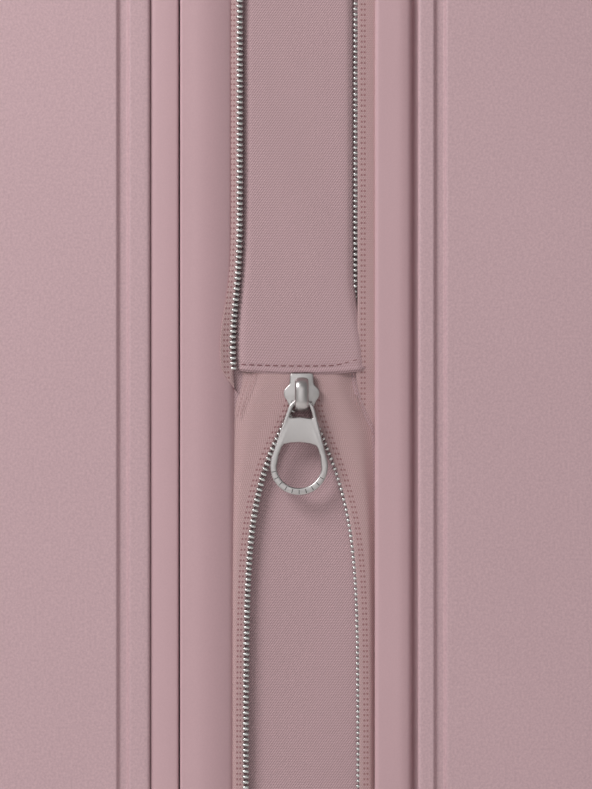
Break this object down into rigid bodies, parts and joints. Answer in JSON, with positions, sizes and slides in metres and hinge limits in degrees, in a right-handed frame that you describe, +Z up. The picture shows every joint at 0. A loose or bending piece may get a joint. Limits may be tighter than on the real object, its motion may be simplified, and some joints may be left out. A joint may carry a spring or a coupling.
{
  "type": "suitcase",
  "caption": "Expandable hard shell suitcase with swivel wheels, a telescopic handle, carry handles, latches and a zipped cloth gusset round its side.",
  "frame": {"origin": "on the floor under the middle of the expanded case", "axes": "+Z up, lid towards -Y, telescopic handle towards +Y, hinges and zip slider on the +X side"},
  "size_m": [0.462, 0.3048, 0.663],
  "materials": {
    "shell": "fine matt",
    "rim": "satin",
    "cloth": "twill",
    "tape": "woven",
    "zip_metal": "bright plated",
    "lining": "plain weave",
    "steel": "satin",
    "alloy": "anodised",
    "trim": "satin",
    "dark_plastic": "satin",
    "dial": "gloss",
    "strap": "webbing",
    "wheel_hub": "satin",
    "tyre": "soft matt"
  },
  "bodies": {
    "rear_case": {"rear_shell": "shell", "rear_lining": "lining", "rear_rim": "rim", "gusset": "cloth", "rear_zip_tape": "tape", "rear_zip_teeth": "zip_metal", "trolley_bezel": "trim", "trolley_outer_tubes": "alloy", "top_handle_lugs": "trim", "side_handle_lugs": "trim", "rear_feet": "trim", "packing_straps": "strap", "strap_buckle": "dark_plastic", "caster_rear_left_housing": "trim", "caster_rear_right_housing": "trim"},
    "mid_frame": {"mid_rim": "rim", "front_zip_tape": "tape", "front_zip_teeth": "zip_metal", "hinge_leaves_frame": "steel", "latch_bases": "steel"},
    "zip_slider": {"zip_slider": "zip_metal"},
    "zip_puller": {"zip_puller": "zip_metal"},
    "lid": {"lid_shell": "shell", "lid_lining": "lining", "lid_pocket": "lining", "lid_rim": "rim", "hinge_leaves_lid": "steel", "latch_keepers": "steel", "lock_plate": "trim", "lid_feet": "trim", "caster_front_left_housing": "trim", "caster_front_right_housing": "trim"},
    "upper_latch": {"latch_lever_upper": "steel"},
    "lower_latch": {"latch_lever_lower": "steel"},
    "lock_dial_1": {"lock_dial_1": "dial"},
    "lock_dial_2": {"lock_dial_2": "dial"},
    "lock_dial_3": {"lock_dial_3": "dial"},
    "lock_button": {"lock_button": "dark_plastic"},
    "trolley_stage_1": {"trolley_middle_tubes": "alloy"},
    "trolley_stage_2": {"trolley_inner_tubes": "alloy", "trolley_grip": "trim"},
    "trolley_button": {"trolley_button": "dark_plastic"},
    "top_handle": {"top_handle": "trim"},
    "side_handle": {"side_handle": "trim"},
    "caster_front_left_swivel": {"caster_front_left_fork": "dark_plastic"},
    "caster_front_left_wheels": {"caster_front_left_axle": "steel", "caster_front_left_hubs": "wheel_hub", "caster_front_left_tyres": "tyre"},
    "caster_front_right_swivel": {"caster_front_right_fork": "dark_plastic"},
    "caster_front_right_wheels": {"caster_front_right_axle": "steel", "caster_front_right_hubs": "wheel_hub", "caster_front_right_tyres": "tyre"},
    "caster_rear_left_swivel": {"caster_rear_left_fork": "dark_plastic"},
    "caster_rear_left_wheels": {"caster_rear_left_axle": "steel", "caster_rear_left_hubs": "wheel_hub", "caster_rear_left_tyres": "tyre"},
    "caster_rear_right_swivel": {"caster_rear_right_fork": "dark_plastic"},
    "caster_rear_right_wheels": {"caster_rear_right_axle": "steel", "caster_rear_right_hubs": "wheel_hub", "caster_rear_right_tyres": "tyre"}
  },
  "joints": [
    {"name": "expansion", "type": "slide", "parent": "rear_case", "child": "mid_frame", "axis": [0, 1, 0], "range_m": [0, 0.037], "deforming": ["gusset"]},
    {"name": "zip_travel", "type": "slide", "parent": "rear_case", "child": "zip_slider", "axis": [0, 0.0965, -0.9953], "range_m": [0, 0.1809]},
    {"name": "puller_swing", "type": "hinge", "parent": "zip_slider", "child": "zip_puller", "pos_m": [0.22075, 0.00625, 0.354], "axis": [0, -1, 0], "range_deg": [0, 125]},
    {"name": "lid_hinge", "type": "hinge", "parent": "mid_frame", "child": "lid", "pos_m": [0.2233, -0.0366, 0.357], "axis": [0, 0, 1], "range_deg": [0, 125]},
    {"name": "upper_latch_lever", "type": "hinge", "parent": "mid_frame", "child": "upper_latch", "pos_m": [-0.2242, -0.02755, 0.507], "axis": [0, 0, -1], "range_deg": [0, 100]},
    {"name": "lower_latch_lever", "type": "hinge", "parent": "mid_frame", "child": "lower_latch", "pos_m": [-0.2242, -0.02755, 0.207], "axis": [0, 0, -1], "range_deg": [0, 100]},
    {"name": "dial_1_turn", "type": "hinge", "parent": "lid", "child": "lock_dial_1", "pos_m": [-0.2246, -0.07885, 0.358], "axis": [0, 0, 1], "continuous": true},
    {"name": "dial_2_turn", "type": "hinge", "parent": "lid", "child": "lock_dial_2", "pos_m": [-0.2246, -0.07885, 0.349], "axis": [0, 0, 1], "continuous": true},
    {"name": "dial_3_turn", "type": "hinge", "parent": "lid", "child": "lock_dial_3", "pos_m": [-0.2246, -0.07885, 0.34], "axis": [0, 0, 1], "continuous": true},
    {"name": "lock_release", "type": "slide", "parent": "lid", "child": "lock_button", "axis": [1, 0, 0], "range_m": [0, 0.0012], "stiffness_N_per_m": 400},
    {"name": "trolley_stage_1_slide", "type": "slide", "parent": "rear_case", "child": "trolley_stage_1", "axis": [0, 0, 1], "range_m": [0, 0.2]},
    {"name": "trolley_stage_2_slide", "type": "slide", "parent": "trolley_stage_1", "child": "trolley_stage_2", "axis": [0, 0, 1], "range_m": [0, 0.2]},
    {"name": "trolley_release", "type": "slide", "parent": "trolley_stage_2", "child": "trolley_button", "axis": [0, 0, -1], "range_m": [0, 0.002], "stiffness_N_per_m": 400},
    {"name": "top_handle_lift", "type": "hinge", "parent": "rear_case", "child": "top_handle", "pos_m": [0, 0.08885, 0.6585], "axis": [-1, 0, 0], "range_deg": [0, 90]},
    {"name": "side_handle_lift", "type": "hinge", "parent": "rear_case", "child": "side_handle", "pos_m": [-0.2265, 0.08885, 0.357], "axis": [0, 0, -1], "range_deg": [0, 90]},
    {"name": "caster_front_left_turn", "type": "hinge", "parent": "lid", "child": "caster_front_left_swivel", "pos_m": [-0.148, -0.11045, 0.056], "axis": [0, 0, 1], "continuous": true},
    {"name": "caster_front_left_roll", "type": "hinge", "parent": "caster_front_left_swivel", "child": "caster_front_left_wheels", "pos_m": [-0.148, -0.09545, 0.025], "axis": [1, 0, 0], "continuous": true},
    {"name": "caster_front_right_turn", "type": "hinge", "parent": "lid", "child": "caster_front_right_swivel", "pos_m": [0.148, -0.11045, 0.056], "axis": [0, 0, 1], "continuous": true},
    {"name": "caster_front_right_roll", "type": "hinge", "parent": "caster_front_right_swivel", "child": "caster_front_right_wheels", "pos_m": [0.148, -0.09545, 0.025], "axis": [1, 0, 0], "continuous": true},
    {"name": "caster_rear_left_turn", "type": "hinge", "parent": "rear_case", "child": "caster_rear_left_swivel", "pos_m": [-0.148, 0.11045, 0.056], "axis": [0, 0, 1], "continuous": true},
    {"name": "caster_rear_left_roll", "type": "hinge", "parent": "caster_rear_left_swivel", "child": "caster_rear_left_wheels", "pos_m": [-0.148, 0.12545, 0.025], "axis": [1, 0, 0], "continuous": true},
    {"name": "caster_rear_right_turn", "type": "hinge", "parent": "rear_case", "child": "caster_rear_right_swivel", "pos_m": [0.148, 0.11045, 0.056], "axis": [0, 0, 1], "continuous": true},
    {"name": "caster_rear_right_roll", "type": "hinge", "parent": "caster_rear_right_swivel", "child": "caster_rear_right_wheels", "pos_m": [0.148, 0.12545, 0.025], "axis": [1, 0, 0], "continuous": true}
  ],
  "couplings": [
    {"joint": "zip_travel", "follows": "expansion", "ratio": 4.8877}
  ]
}
